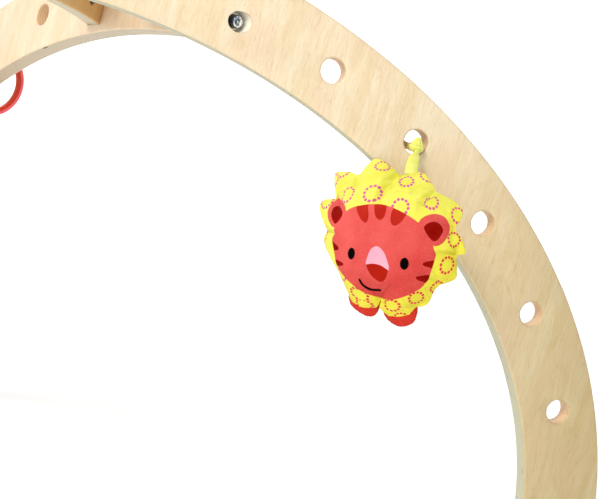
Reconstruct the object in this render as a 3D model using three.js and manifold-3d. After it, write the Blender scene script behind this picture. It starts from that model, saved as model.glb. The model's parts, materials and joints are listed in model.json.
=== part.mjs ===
// Activity play gym: three identical curved plywood legs butt-jointed in a pinwheel hub, with a
// stuffed lion hanging on a ribbon from the right leg and two toy links hanging from the rear leg.
// Millimetres, +Z up, origin on the floor under the middle of the model.
import * as THREE from 'three';
import { mergeVertices } from 'three/addons/utils/BufferGeometryUtils.js';
import Module from 'manifold-3d';

// Driving dimensions: legs
const BOARD = 18; // plywood thickness
const BAND = 67.5; // width of the curved leg
const ARC_HALF_WIDTH = 496; // half-width of the centreline ellipse
const ARC_HEIGHT = 384; // height of the centreline ellipse above its own centre
const ARC_SHIFT = -23; // ellipse centre, along the leg, from the middle of the hub
const FOOT_RISE = 102; // straight part between the ellipse and the floor
const FOOT_CHAMFER = 6;
const EDGE_BEVEL = 1.6;
const HUB_INRADIUS = 44; // from the middle of the hub to a leg's inner face
const HOLE_DIAMETER = 20;
const HOLE_PITCH = 88.2; // along the centreline
const BOLT_ARC = 116; // from the ellipse's apex to the bolt, along the centreline
const HOLE_COUNT = 5;
const GAP = 0.3; // clearance between touching pieces

// Driving dimensions: hub joints, measured along the bolt from the outer face of the leg it enters
const COUNTERBORE = { radius: 8.3, depth: 11 };
const WASHER = { radius: 7.7, thickness: 1.6 };
const BOLT = { headRadius: 5, headHeight: 6, shankRadius: 3, length: 50, socket: 5, socketDepth: 3 };
const BOLT_DROP = 7.5; // below the centreline of the leg that carries the bolt head
const NUT = { radius: 5, length: 14, fromJoint: 27 };
const DOWEL = { radius: 4, length: 30, inPreviousLeg: 10, aboveBolt: 24 };

// Driving dimensions: lion toy
const HANGER_SHIFT = 0.5; // the ribbon hangs nearly in the middle of its hole,
const HANGER_DROP = 3; // and a little below it
const KNOT = { radius: 5.7, height: 13.3, beyondFace: 2 };
const TAIL = { radius: 2, length: 15 };
const TOGGLE = { radius: 3.5, length: 32 };
const RIBBON = { width: 10.5, thickness: 2 };
const LION = { halfWidth: 58, halfHeight: 51, lobe: 5, lobes: 12, thickness: 24, maneRise: 6 };
const LION_PLACE = { besideHole: -9, standOff: 25, belowHole: 82 }; // its middle, from the hole's
const LION_YAW = THREE.MathUtils.degToRad(-42); // turned towards the hub
const LION_ROLL = THREE.MathUtils.degToRad(5); // and leaning a little that way
const LION_SEAM = { along: 10, up: 63 }; // where the ribbon is sewn on, from the lion's middle
const LION_ROUNDING = { depth: 8, inset: 5, steps: 3 };
const FEET = [
  { name: 'lion_foot_left', along: -12, up: -53, halfWidth: 13, halfHeight: 9 },
  { name: 'lion_foot_right', along: 18, up: -54, halfWidth: 14, halfHeight: 9.5 },
];
const FOOT_THICKNESS = 11;

// Driving dimensions: toy links
const RED_LINK = { radius: 31, tube: 3.9, pivotDrop: 4 };
const PINK_LINK = { innerRadius: 20, wall: 4, width: 14, corner: 1.6 };
const LINK_REST_GAP = 5.2; // from the red link's lowest tube centre to the pink link's inside
const LINK_SLIT = 1.2;

const LEGS = ['right', 'rear', 'front'];
const THIRD_TURN = (2 * Math.PI) / LEGS.length;
const ROUND = 20; // segments of a small round
const ARC_STEPS = 26;

const wasm = await Module();
wasm.setup();

function finish(colour, roughness, metalness = 0) {
  return new THREE.MeshStandardMaterial({ color: colour, roughness, metalness });
}

// A closed three.js geometry as a manifold-3d solid
function toSolid(geometry) {
  const bare = geometry.clone();
  bare.deleteAttribute('normal');
  bare.deleteAttribute('uv');
  const merged = mergeVertices(bare, 1e-4);
  const mesh = new wasm.Mesh({
    numProp: 3,
    vertProperties: new Float32Array(merged.attributes.position.array),
    triVerts: new Uint32Array(merged.index.array),
  });
  return new wasm.Manifold(mesh);
}

function toGeometry(solid) {
  const mesh = solid.getMesh();
  const geometry = new THREE.BufferGeometry();
  geometry.setAttribute('position', new THREE.BufferAttribute(mesh.vertProperties, mesh.numProp));
  geometry.setIndex(new THREE.BufferAttribute(mesh.triVerts, 1));
  geometry.computeVertexNormals();
  return geometry;
}

function cut(geometry, cutters) {
  let solid = toSolid(geometry);
  for (const cutter of cutters) {
    solid = solid.subtract(toSolid(cutter));
  }
  return toGeometry(solid);
}

function piece(name, geometry, material) {
  const mesh = new THREE.Mesh(geometry, material);
  mesh.name = name;
  return mesh;
}

// Legs: an offset band about an ellipse, then a straight foot. The flat shape is drawn in the leg's
// own (along, up) plane, with up measured from the centre of the ellipse.
function ellipsePoint(angle, offset) {
  const normal = new THREE.Vector2(Math.sin(angle) / ARC_HALF_WIDTH, Math.cos(angle) / ARC_HEIGHT);
  const point = new THREE.Vector2(
    ARC_SHIFT + ARC_HALF_WIDTH * Math.sin(angle),
    ARC_HEIGHT * Math.cos(angle),
  );
  return point.addScaledVector(normal.normalize(), offset);
}

const centreline = new THREE.EllipseCurve(ARC_SHIFT, 0, ARC_HALF_WIDTH, ARC_HEIGHT, Math.PI / 2, 0, true);

function pointAlongArc(distance) {
  return centreline.getPointAt(distance / centreline.getLength());
}

function holePoint(index) {
  return pointAlongArc(BOLT_ARC + index * HOLE_PITCH);
}

function legShape() {
  const hubAlong = -HUB_INRADIUS * Math.sqrt(3) - BOARD;
  const hubAngle = Math.asin((hubAlong - ARC_SHIFT) / ARC_HALF_WIDTH);
  const angles = Array.from({ length: ARC_STEPS + 1 }, (_, step) => (
    THREE.MathUtils.lerp(hubAngle, Math.PI / 2, step / ARC_STEPS)
  ));
  const outer = angles.map((angle) => ellipsePoint(angle, BAND / 2));
  const inner = angles.map((angle) => ellipsePoint(angle, -BAND / 2)).reverse();
  const outside = outer[ARC_STEPS].x;
  const inside = inner[0].x;
  const foot = [
    new THREE.Vector2(outside, FOOT_CHAMFER - FOOT_RISE),
    new THREE.Vector2(outside - FOOT_CHAMFER, -FOOT_RISE),
    new THREE.Vector2(inside + FOOT_CHAMFER, -FOOT_RISE),
    new THREE.Vector2(inside, FOOT_CHAMFER - FOOT_RISE),
  ];
  const shape = new THREE.Shape([...outer, ...foot, ...inner].reverse());
  for (let index = 1; index <= HOLE_COUNT; index += 1) {
    const centre = holePoint(index);
    const hole = new THREE.Path();
    hole.absarc(centre.x, centre.y, HOLE_DIAMETER / 2, 0, 2 * Math.PI, true);
    shape.holes.push(hole);
  }
  return shape;
}

// A flat shape standing up in the (along, up) plane, centred on a depth across the board
function standing(shape, thickness, bevel, bevelSize, centreDepth, bevelSegments = 1) {
  const geometry = new THREE.ExtrudeGeometry(shape, {
    depth: thickness - 2 * bevel,
    bevelThickness: bevel,
    bevelSize,
    bevelOffset: -bevelSize,
    bevelSegments,
    curveSegments: ROUND / 2,
  });
  geometry.rotateX(Math.PI / 2);
  return geometry.translate(0, centreDepth + thickness / 2 - bevel, 0);
}

// Hub joint, in the frame of the leg whose end is butted: the bolt runs along the leg, in the middle
// of its thickness, and enters through the previous leg.
const JOINT_DEPTH = -HUB_INRADIUS - BOARD / 2;
const SIN_60 = Math.sqrt(3) / 2;
const BOLT_START = -(1.5 * HUB_INRADIUS + 1.25 * BOARD) / SIN_60;
const JOINT_ALONG = -(1.5 * HUB_INRADIUS + 0.25 * BOARD) / SIN_60;
const BOLT_UP = pointAlongArc(BOLT_ARC).y - BOLT_DROP;

function alongBolt(radius, from, to, lift = 0, segments = ROUND) {
  const geometry = new THREE.CylinderGeometry(radius, radius, to - from, segments);
  geometry.rotateZ(-Math.PI / 2);
  return geometry.translate(BOLT_START + (from + to) / 2, JOINT_DEPTH, BOLT_UP + lift);
}

function acrossBoard(radius, length, along, depth) {
  const geometry = new THREE.CylinderGeometry(radius, radius, length, ROUND);
  return geometry.translate(along, depth, BOLT_UP);
}

function onPreviousLeg(geometry) {
  return geometry.clone().rotateZ(THIRD_TURN);
}

const WASHER_START = COUNTERBORE.depth - GAP - WASHER.thickness;
const HEAD_START = WASHER_START - GAP - BOLT.headHeight;
const SHANK_END = HEAD_START + BOLT.headHeight + BOLT.length;
const DOWEL_START = JOINT_ALONG - BOLT_START - DOWEL.inPreviousLeg;
const NUT_ALONG = JOINT_ALONG + NUT.fromJoint;

function legGeometry() {
  const board = standing(legShape(), BOARD, EDGE_BEVEL, EDGE_BEVEL, JOINT_DEPTH);
  const blockSize = 400;
  const endBlock = new THREE.BoxGeometry(blockSize, blockSize, 4 * blockSize);
  endBlock.translate(-blockSize / 2 - HUB_INRADIUS + GAP, 0, 0);
  endBlock.rotateZ(-Math.PI / 6);
  const boltHole = alongBolt(BOLT.shankRadius + GAP, -GAP, SHANK_END + 2);
  const dowelHole = alongBolt(
    DOWEL.radius + GAP,
    DOWEL_START - GAP,
    DOWEL_START + DOWEL.length + GAP,
    DOWEL.aboveBolt,
  );
  const counterbore = alongBolt(COUNTERBORE.radius, -COUNTERBORE.depth, COUNTERBORE.depth);
  const nutDepth = (BOARD + NUT.length) / 2 + GAP;
  const nutHole = acrossBoard(NUT.radius + GAP, nutDepth, NUT_ALONG, -HUB_INRADIUS - nutDepth / 2 + GAP);
  const fromNextLeg = [counterbore, boltHole, dowelHole].map(onPreviousLeg);
  return cut(board, [endBlock, boltHole, dowelHole, nutHole, ...fromNextLeg]);
}

function boltGeometry() {
  const headEnd = HEAD_START + BOLT.headHeight;
  const profile = [
    [0, HEAD_START],
    [BOLT.headRadius - 0.5, HEAD_START],
    [BOLT.headRadius, HEAD_START + 0.5],
    [BOLT.headRadius, headEnd],
    [BOLT.shankRadius, headEnd],
    [BOLT.shankRadius, SHANK_END - 1],
    [BOLT.shankRadius - 1, SHANK_END],
    [0, SHANK_END],
  ].map(([radius, along]) => new THREE.Vector2(radius, along));
  const geometry = new THREE.LatheGeometry(profile, ROUND);
  geometry.rotateZ(-Math.PI / 2);
  geometry.translate(BOLT_START, JOINT_DEPTH, BOLT_UP);
  const hexRadius = BOLT.socket / 2 / SIN_60;
  return cut(geometry, [alongBolt(hexRadius, HEAD_START - 1, HEAD_START + BOLT.socketDepth, 0, 6)]);
}

function washerGeometry() {
  const disc = alongBolt(WASHER.radius, WASHER_START, WASHER_START + WASHER.thickness);
  return cut(disc, [alongBolt(BOLT.shankRadius + GAP, WASHER_START - 1, COUNTERBORE.depth)]);
}

function nutGeometry() {
  const nut = acrossBoard(NUT.radius, NUT.length, NUT_ALONG, JOINT_DEPTH);
  return cut(nut, [alongBolt(BOLT.shankRadius + GAP, 0, SHANK_END + 2)]);
}

const birch = finish(0xe9d3ae, 0.55);
const zinc = finish(0xb9bcb2, 0.3, 1);
const beech = finish(0xd9b988, 0.6);

function hubJoint(legName) {
  const dowel = alongBolt(DOWEL.radius, DOWEL_START, DOWEL_START + DOWEL.length, DOWEL.aboveBolt);
  return [
    piece(`hub_bolt_${legName}`, boltGeometry(), zinc),
    piece(`hub_washer_${legName}`, washerGeometry(), zinc),
    piece(`barrel_nut_${legName}`, nutGeometry(), zinc),
    piece(`dowel_${legName}`, dowel, beech),
  ];
}

function legAssembly(legName, index) {
  const group = new THREE.Group();
  group.add(piece(`leg_${legName}`, legGeometry(), birch));
  group.add(...hubJoint(legName));
  group.rotation.z = index * THIRD_TURN;
  return group;
}

// Lion toy, in the frame of the right leg
function lobedOutline(grow) {
  const steps = 6 * LION.lobes;
  return Array.from({ length: steps }, (_, step) => {
    const angle = (2 * Math.PI * step) / steps;
    const lobe = grow - LION.lobe * Math.cos(LION.lobes * angle);
    return new THREE.Vector2(
      (LION.halfWidth + lobe) * Math.cos(angle),
      (LION.halfHeight + lobe) * Math.sin(angle) + LION.maneRise,
    );
  });
}

function lionToy() {
  const group = new THREE.Group();
  const hole = holePoint(2);
  const faceDepth = -HUB_INRADIUS - BOARD;
  const hangAlong = hole.x + HANGER_SHIFT;
  const hangUp = hole.y - HANGER_DROP;
  const yellow = finish(0xf3ea3c, 0.8);
  const red = finish(0xef5f55, 0.8);

  const knotProfile = new THREE.CatmullRomCurve3([
    new THREE.Vector3(0, -KNOT.height / 2, 0),
    new THREE.Vector3(KNOT.radius * 0.85, -KNOT.height * 0.36, 0),
    new THREE.Vector3(KNOT.radius, -KNOT.height * 0.12, 0),
    new THREE.Vector3(KNOT.radius * 0.62, KNOT.height * 0.25, 0),
    new THREE.Vector3(0, KNOT.height / 2, 0),
  ]).getPoints(10).map((point) => new THREE.Vector2(Math.max(point.x, 0), point.y));
  const knot = new THREE.LatheGeometry(knotProfile, 16).rotateX(Math.PI / 2);
  const knotDepth = faceDepth - KNOT.beyondFace;
  knot.translate(hangAlong, knotDepth, hangUp + 1);

  const tailStart = knotDepth + KNOT.radius + GAP;
  const tail = new THREE.CylinderGeometry(TAIL.radius, TAIL.radius, TAIL.length, 12);
  tail.translate(hangAlong, tailStart + TAIL.length / 2, hangUp);
  const toggle = new THREE.CylinderGeometry(TOGGLE.radius, TOGGLE.radius, TOGGLE.length, ROUND);
  toggle.rotateZ(Math.PI / 2);
  toggle.translate(hangAlong, tailStart + TAIL.length + GAP + TOGGLE.radius, hangUp);

  const lion = new THREE.Group();
  lion.position.set(
    hole.x + LION_PLACE.besideHole,
    faceDepth - LION_PLACE.standOff,
    hole.y - LION_PLACE.belowHole,
  );
  lion.rotation.set(0, -LION_ROLL, LION_YAW, 'ZYX');
  lion.updateMatrix();
  const cushion = (grow) => standing(
    new THREE.Shape(lobedOutline(grow)),
    LION.thickness,
    LION_ROUNDING.depth,
    LION_ROUNDING.inset,
    0,
    LION_ROUNDING.steps,
  );
  lion.add(piece('lion_body', cushion(0), yellow));
  for (const foot of FEET) {
    const shape = new THREE.Shape();
    shape.absellipse(foot.along, foot.up, foot.halfWidth, foot.halfHeight, 0, 2 * Math.PI);
    const blank = standing(shape, FOOT_THICKNESS, 3, 3, 0);
    const aroundBody = cushion(2 * GAP).scale(1, 2, 1);
    lion.add(piece(foot.name, cut(blank, [aroundBody]), red));
  }

  const seam = new THREE.Vector3(LION_SEAM.along, 0, LION_SEAM.up).applyMatrix4(lion.matrix);
  const ribbonDepth = knotDepth - KNOT.radius - RIBBON.thickness;
  const ribbonTop = new THREE.Vector3(hangAlong, ribbonDepth, hangUp - 2);
  const ribbonPath = new THREE.QuadraticBezierCurve3(
    ribbonTop,
    new THREE.Vector3(seam.x, seam.y, ribbonTop.z - 1),
    seam,
  );
  const halfWide = RIBBON.width / 2;
  const halfThick = RIBBON.thickness / 2;
  const section = new THREE.Shape([
    new THREE.Vector2(-halfThick, -halfWide),
    new THREE.Vector2(halfThick, -halfWide),
    new THREE.Vector2(halfThick, halfWide),
    new THREE.Vector2(-halfThick, halfWide),
  ]);
  const ribbon = new THREE.ExtrudeGeometry(section, {
    steps: 10,
    extrudePath: ribbonPath,
    bevelEnabled: false,
  });

  group.add(
    lion,
    piece('lion_ribbon', ribbon, yellow),
    piece('lion_knot', knot, yellow),
    piece('lion_tail_cord', tail, yellow),
    piece('lion_toggle', toggle, beech),
  );
  return group;
}

// Toy links, in the frame of the rear leg: the red one through the second hole, the pink one on it
function roundedBand() {
  const { innerRadius, wall, width, corner } = PINK_LINK;
  const shape = new THREE.Shape();
  const [left, right] = [innerRadius + corner, innerRadius + wall - corner];
  const [low, high] = [corner - width / 2, width / 2 - corner];
  shape.absarc(right, low, corner, -Math.PI / 2, 0);
  shape.absarc(right, high, corner, 0, Math.PI / 2);
  shape.absarc(left, high, corner, Math.PI / 2, Math.PI);
  shape.absarc(left, low, corner, Math.PI, 1.5 * Math.PI);
  shape.closePath();
  return new THREE.LatheGeometry(shape.getPoints(1), 36);
}

function toyLinks() {
  const group = new THREE.Group();
  const hole = holePoint(2);
  const redUp = hole.y - RED_LINK.pivotDrop - RED_LINK.radius;
  const red = new THREE.TorusGeometry(RED_LINK.radius, RED_LINK.tube, 10, 36).rotateY(Math.PI / 2);
  const slit = new THREE.BoxGeometry(4 * RED_LINK.tube, 4 * RED_LINK.tube, LINK_SLIT);
  slit.translate(0, RED_LINK.radius, 0);
  const pinkDrop = RED_LINK.radius - LINK_REST_GAP + PINK_LINK.innerRadius;
  const pinkSlit = new THREE.BoxGeometry(LINK_SLIT, 2 * PINK_LINK.width, 4 * PINK_LINK.wall);
  pinkSlit.translate(0, 0, -PINK_LINK.innerRadius);
  const placed = (geometry, drop) => geometry.translate(hole.x, JOINT_DEPTH, redUp - drop);
  group.add(
    piece('red_link', placed(cut(red, [slit]), 0), finish(0xd9402f, 0.35)),
    piece('pink_link', placed(cut(roundedBand(), [pinkSlit]), pinkDrop), finish(0xff8fb4, 0.4)),
  );
  group.rotation.z = THIRD_TURN * LEGS.indexOf('rear');
  return group;
}

const gym = new THREE.Group();
LEGS.forEach((legName, index) => gym.add(legAssembly(legName, index)));
gym.add(lionToy(), toyLinks());

// Stand the model on the floor, with the origin under the middle of its outline
gym.updateMatrixWorld(true);
const middle = new THREE.Box3().setFromObject(gym, true).getCenter(new THREE.Vector3());
gym.position.set(-middle.x, -middle.y, FOOT_RISE);

export default gym;
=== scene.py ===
"""Looks of the activity play gym: plywood legs, hub hardware, stuffed lion and toy links."""
import json
import math

import bmesh
import bpy
import numpy as np
from mathutils import Matrix, Vector
from mathutils.geometry import delaunay_2d_cdt

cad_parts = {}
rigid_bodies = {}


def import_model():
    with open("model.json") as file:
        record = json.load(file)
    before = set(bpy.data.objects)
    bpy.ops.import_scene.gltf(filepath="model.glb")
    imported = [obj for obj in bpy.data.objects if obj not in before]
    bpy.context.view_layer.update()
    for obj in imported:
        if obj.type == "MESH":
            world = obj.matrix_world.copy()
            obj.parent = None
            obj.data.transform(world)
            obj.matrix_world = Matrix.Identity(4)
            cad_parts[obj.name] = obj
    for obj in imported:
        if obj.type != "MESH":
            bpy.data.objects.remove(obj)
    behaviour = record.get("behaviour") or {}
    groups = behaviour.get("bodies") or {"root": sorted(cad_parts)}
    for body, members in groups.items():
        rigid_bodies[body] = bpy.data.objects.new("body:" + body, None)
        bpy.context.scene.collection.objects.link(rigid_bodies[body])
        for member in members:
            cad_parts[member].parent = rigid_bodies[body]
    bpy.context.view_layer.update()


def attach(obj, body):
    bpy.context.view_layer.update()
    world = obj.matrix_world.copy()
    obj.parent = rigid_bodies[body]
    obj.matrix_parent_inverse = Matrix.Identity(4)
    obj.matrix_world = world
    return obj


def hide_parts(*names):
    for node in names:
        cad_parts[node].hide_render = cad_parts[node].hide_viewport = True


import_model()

MM = 0.001  # every shape is drawn in millimetres and scaled to metres at the end

# --- driving dimensions
BOARD = 18.0  # thickness
BAND = 67.5  # width
ARC = {"half_width": 496.0, "height": 384.0, "shift": -23.0}
FOOT_RISE = 102.0
FOOT_CHAMFER = 6.0
EDGE_RADIUS = 1.9
SAWN_EDGE = {"bevel": 0.8, "clear_of_holes": 6.5}
HUB_INRADIUS = 44.0
HUB = Vector((-100.2407, -26.5, 102.0))  # middle of the hub, at the height of the ellipse's centre
HOLES = 5
HOLE_RADIUS = 10.0
HOLE_PITCH = 88.2
BOLT_ARC = 116.0
BOLT_DROP = 7.5  # the bolt's line is this far below the leg's centreline
GAP = 0.3
SIN_60 = math.sqrt(3) / 2
LEGS = ("right", "rear", "front")
JOINT_DEPTH = -HUB_INRADIUS - BOARD / 2
# on the bolt's line, the previous leg's outer face and its inner face, where the leg butts on it
BOLT_START = -(1.5 * HUB_INRADIUS + 1.25 * BOARD) / SIN_60
JOINT_ALONG = -(1.5 * HUB_INRADIUS + 0.25 * BOARD) / SIN_60
BORE = {"radius": 8.3, "depth": 11.0}
WASHER = {"radius": 7.7, "thick": 1.6, "soft": 0.25}
BOLT = {"head": 5.0, "high": 6.0, "shank": 3.0, "long": 50.0, "socket": 5.0, "deep": 3.0}
THREAD = {"pitch": 1.0, "depth": 0.45, "from_head": 16.0}
NUT = {"radius": 5.0, "long": 14.0, "soft": 0.5, "slot_wide": 1.4, "slot_deep": 1.5}
NUT_HOLE = {"from_joint": 27.0, "chamfer": 0.9, "past_face": 0.6}
PAST_END = 2.0  # the bolt's hole is this much longer than the bolt
DOWEL = {"radius": 4.0, "long": 30.0, "in_previous": 10.0, "above": 24.0, "flutes": 12}
WASHER_START = BORE["depth"] - GAP - WASHER["thick"]
HEAD_START = WASHER_START - GAP - BOLT["high"]
SHANK_END = HEAD_START + BOLT["high"] + BOLT["long"]
DOWEL_START = JOINT_ALONG - BOLT_START - DOWEL["in_previous"]
NUT_ALONG = JOINT_ALONG + NUT_HOLE["from_joint"]
SQUARE_TO_BOARD = Matrix.Rotation(math.pi / 2, 4, "Z")  # for a shape drawn along X
THIRD_TURN = 2 * math.pi / 3


def ellipse(angle, offset=0.0):
    """A point of the leg's centreline, or of a line at an offset from it, in (along, up)."""
    along = ARC["shift"] + ARC["half_width"] * math.sin(angle)
    up = ARC["height"] * math.cos(angle)
    normal = Vector((math.sin(angle) / ARC["half_width"], math.cos(angle) / ARC["height"]))
    return Vector((along, up)) + normal.normalized() * offset


def along_arc(distance):
    """The point at a distance from the top of the ellipse, along the centreline."""
    angles = np.linspace(0, math.pi / 2, 6000)
    x = ARC["half_width"] * np.sin(angles)
    z = ARC["height"] * np.cos(angles)
    run = np.concatenate([[0], np.cumsum(np.hypot(np.diff(x), np.diff(z)))])
    return ellipse(float(np.interp(distance, run, angles)))


BOLT_UP = along_arc(BOLT_ARC).y - BOLT_DROP
HOLE_CENTRES = [along_arc(BOLT_ARC + k * HOLE_PITCH) for k in range(1, HOLES + 1)]


# --- mesh helpers
def new_object(name, data):
    obj = bpy.data.objects.new(name, data)
    bpy.context.scene.collection.objects.link(obj)
    return obj


def editable(mesh):
    bm = bmesh.new()
    bm.from_mesh(mesh)
    return bm


def mesh_from(bm):
    """A mesh with its faces turned outwards."""
    mesh = bpy.data.meshes.new("shape")
    bmesh.ops.recalc_face_normals(bm, faces=bm.faces)
    bm.to_mesh(mesh)
    bm.free()
    return mesh


def evaluated(obj):
    """A copy of the object's mesh with its modifiers applied; the object itself is removed."""
    graph = bpy.context.evaluated_depsgraph_get()
    mesh = bpy.data.meshes.new_from_object(obj.evaluated_get(graph), depsgraph=graph)
    bpy.data.objects.remove(obj)
    return mesh


def coordinates(mesh):
    co = np.empty(3 * len(mesh.vertices))
    mesh.vertices.foreach_get("co", co)
    return co.reshape(-1, 3)


def set_coordinates(mesh, co):
    mesh.vertices.foreach_set("co", co.ravel())
    mesh.update()


def add_attribute(mesh, name, values):
    """Keeps a number or a vector at every point of the mesh."""
    values = np.asarray(values, np.float32)
    kind = "FLOAT" if values.ndim == 1 else "FLOAT_VECTOR"
    field = mesh.attributes.new(name, kind, "POINT")
    field.data.foreach_set("value" if kind == "FLOAT" else "vector", values.ravel())


def read_attribute(mesh, name, width=1):
    values = np.empty(width * len(mesh.vertices), np.float32)
    mesh.attributes[name].data.foreach_get("value" if width == 1 else "vector", values)
    return values if width == 1 else values.reshape(-1, width)


def full_turn(steps, phase=0.0):
    """Angles evenly round a circle."""
    return [2 * math.pi * (k + phase) / steps for k in range(steps)]


def loft(rings, capped=True):
    """A surface through rings of points. A ring of one point is a tip; caps close the others."""
    bm = bmesh.new()
    rings = [[bm.verts.new(point) for point in ring] for ring in rings]
    for a, b in zip(rings, rings[1:]):
        count = max(len(a), len(b))
        for k in range(count):
            n = (k + 1) % count
            corners = (a[k % len(a)], b[k % len(b)], b[n % len(b)], a[n % len(a)])
            bm.faces.new(tuple(dict.fromkeys(corners)))
    if capped:
        bm.faces.new(rings[0])
        bm.faces.new(rings[-1])
    return mesh_from(bm)


def lathe(profile, segments):
    """A surface of revolution about local X through (radius, along) points."""
    turn = full_turn(segments)
    return loft([[(along, radius * math.cos(t), radius * math.sin(t)) for t in turn] if radius
                 else [(along, 0, 0)] for radius, along in profile], False)


def box(x, y, z):
    bm = bmesh.new()
    bmesh.ops.create_cube(bm, size=1.0)
    mesh = mesh_from(bm)
    mesh.transform(Matrix.Diagonal((x, y, z, 1)))
    return mesh


def squircle(steps, powers, phase=0.0):
    """Points round a square of half-width 1 with round corners; smaller powers are squarer."""
    return [tuple(math.copysign(abs(v) ** p, v) for v, p in zip((math.cos(t), math.sin(t)), powers))
            for t in full_turn(steps, phase)]


def moved(mesh, offset, turn=Matrix()):
    mesh.transform(Matrix.Translation(offset) @ turn)
    return mesh


def on_bolt(mesh, up=0.0):
    """Moves a shape drawn along X onto the bolt's line, or to a line above it."""
    return moved(mesh, (BOLT_START, JOINT_DEPTH, BOLT_UP + up))


def tube(radius, start, end, up=0.0, segments=48):
    """A plain cylinder along the bolt's line, from start to end."""
    return on_bolt(lathe([(0, start), (radius, start), (radius, end), (0, end)], segments), up)


def cut(mesh, cutters):
    """mesh minus the cutters."""
    target = new_object("target", mesh)
    tray = bpy.data.collections.new("cutters")
    bpy.context.scene.collection.children.link(tray)
    for cutter in cutters:
        tray.objects.link(bpy.data.objects.new("cutter", cutter))
    boolean = target.modifiers.new("cut", "BOOLEAN")
    boolean.operation = "DIFFERENCE"
    boolean.operand_type = "COLLECTION"
    boolean.collection = tray
    boolean.solver = "EXACT"
    bpy.context.view_layer.update()
    result = evaluated(target)
    for obj in list(tray.objects):
        bpy.data.objects.remove(obj)
    bpy.data.collections.remove(tray)
    return result


def welded(mesh, distance):
    """mesh with its doubled points joined."""
    bm = editable(mesh)
    bmesh.ops.remove_doubles(bm, verts=bm.verts, dist=distance)
    return mesh_from(bm)


def smooth_by_angle(mesh, degrees):
    """Smooth shading, except across edges as steep as this."""
    mesh.shade_smooth()
    bm = editable(mesh)
    limit = math.radians(degrees)
    for edge in bm.edges:
        edge.smooth = len(edge.link_faces) == 2 and edge.calc_face_angle(0) < limit
    bm.to_mesh(mesh)
    bm.free()


def place(name, mesh, body, material, nodes, matrix=None, degrees=35):
    """Puts a finished piece, drawn in millimetres, into the scene at rest."""
    smooth_by_angle(mesh, degrees)
    mesh.transform(Matrix.Scale(MM, 4))
    mesh.materials.clear()
    mesh.materials.append(material)
    mesh.name = name
    obj = new_object(name, mesh)
    if matrix is not None:
        obj.matrix_world = matrix
    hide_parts(*nodes)
    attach(obj, body)
    return obj


def leg_frame(index):
    """Where a leg's own (along, across, up) frame stands, in metres."""
    return Matrix.Translation(HUB * MM) @ Matrix.Rotation(index * THIRD_TURN, 4, "Z")


# --- materials
def colour(code):
    """A linear colour from an sRGB hex code."""
    parts = [int(code[i:i + 2], 16) / 255 for i in (0, 2, 4)]
    return tuple(p / 12.92 if p <= 0.04045 else ((p + 0.055) / 1.055) ** 2.4 for p in parts) + (1.0,)


class Nodes:
    """Short ways of adding nodes to a tree."""

    def __init__(self, tree):
        self.tree = tree

    def put(self, socket, value):
        if isinstance(value, bpy.types.NodeSocket):
            self.tree.links.new(value, socket)
        else:
            socket.default_value = value

    def node(self, kind, inputs=(), **settings):
        node = self.tree.nodes.new(kind)
        for key, value in settings.items():
            setattr(node, key, value)
        for key, value in dict(inputs).items():
            self.put(node.inputs[key], value)
        return node

    def math(self, operation, *values):
        return self.node("ShaderNodeMath", enumerate(values), operation=operation).outputs[0]

    def plus(self, first, second):
        return self.math("ADD", first, second)

    def minus(self, first, second):
        return self.math("SUBTRACT", first, second)

    def times(self, first, second):
        return self.math("MULTIPLY", first, second)

    def vector(self, operation, *values):
        return self.node("ShaderNodeVectorMath", enumerate(values), operation=operation).outputs[0]

    def measure(self, operation, *values):
        """The number that a vector operation gives."""
        return self.node("ShaderNodeVectorMath", enumerate(values), operation=operation).outputs[1]

    def mix(self, factor, first, second, blend="MIX"):
        inputs = {0: factor, 6: first, 7: second}
        return self.node("ShaderNodeMix", inputs, data_type="RGBA", blend_type=blend).outputs[2]

    def step(self, value, low, high, to_low=0.0, to_high=1.0):
        inputs = {0: value, 1: low, 2: high, 3: to_low, 4: to_high}
        return self.node("ShaderNodeMapRange", inputs, interpolation_type="SMOOTHSTEP").outputs[0]


class Shade(Nodes):
    """A Principled material, its constants given by socket name."""

    def __init__(self, name, **constants):
        self.material = bpy.data.materials.new(name)
        self.material.use_nodes = True
        super().__init__(self.material.node_tree)
        self.main = self.tree.nodes["Principled BSDF"]
        for key, value in constants.items():
            self.main.inputs[key.replace("_", " ")].default_value = value

    def noise(self, vector, scale, detail=2.0, rough=0.5, distortion=0.0, stretch=None):
        """Noise over a vector, which stretch multiplies axis by axis."""
        if stretch:
            vector = self.vector("MULTIPLY", vector, stretch)
        inputs = {"Vector": vector, "Scale": scale, "Detail": detail, "Roughness": rough}
        inputs["Distortion"] = distortion
        return self.node("ShaderNodeTexNoise", inputs).outputs["Fac"]

    def stain(self, base, code, field, low, high, strength=1.0):
        """base with a colour laid over it where field rises from low to high."""
        return self.mix(self.step(field, low, high, 0.0, strength), base, colour(code))

    def object_mm(self):
        """Object coordinates in millimetres."""
        where = self.node("ShaderNodeTexCoord").outputs["Object"]
        return self.vector("MULTIPLY", where, (1 / MM,) * 3)

    def attribute(self, name, output="Fac"):
        return self.node("ShaderNodeAttribute", attribute_name=name).outputs[output]

    def split(self, vector):
        return self.node("ShaderNodeSeparateXYZ", {0: vector}).outputs

    def finish(self, base, roughness, height, distance):
        """The material, with its colour, its gloss and fine relief of that height in metres."""
        self.put(self.main.inputs["Base Color"], base)
        self.put(self.main.inputs["Roughness"], roughness)
        relief = self.node("ShaderNodeBump", {"Height": height, "Distance": distance})
        self.put(self.main.inputs["Normal"], relief.outputs[0])
        return self.material


PLIES = 13
VENEER = (1.05, 1.35)  # the face veneer ends between these depths
BORE_PAINTED_LIGHT = (14.0, 17.0)  # painted light: the bore's wall is painted pale, as if lit, out to between these distances from its mouth
BORE_MOUTH = Matrix.Rotation(THIRD_TURN, 3, "Z") @ Vector((BOLT_START, JOINT_DEPTH, BOLT_UP))


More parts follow.
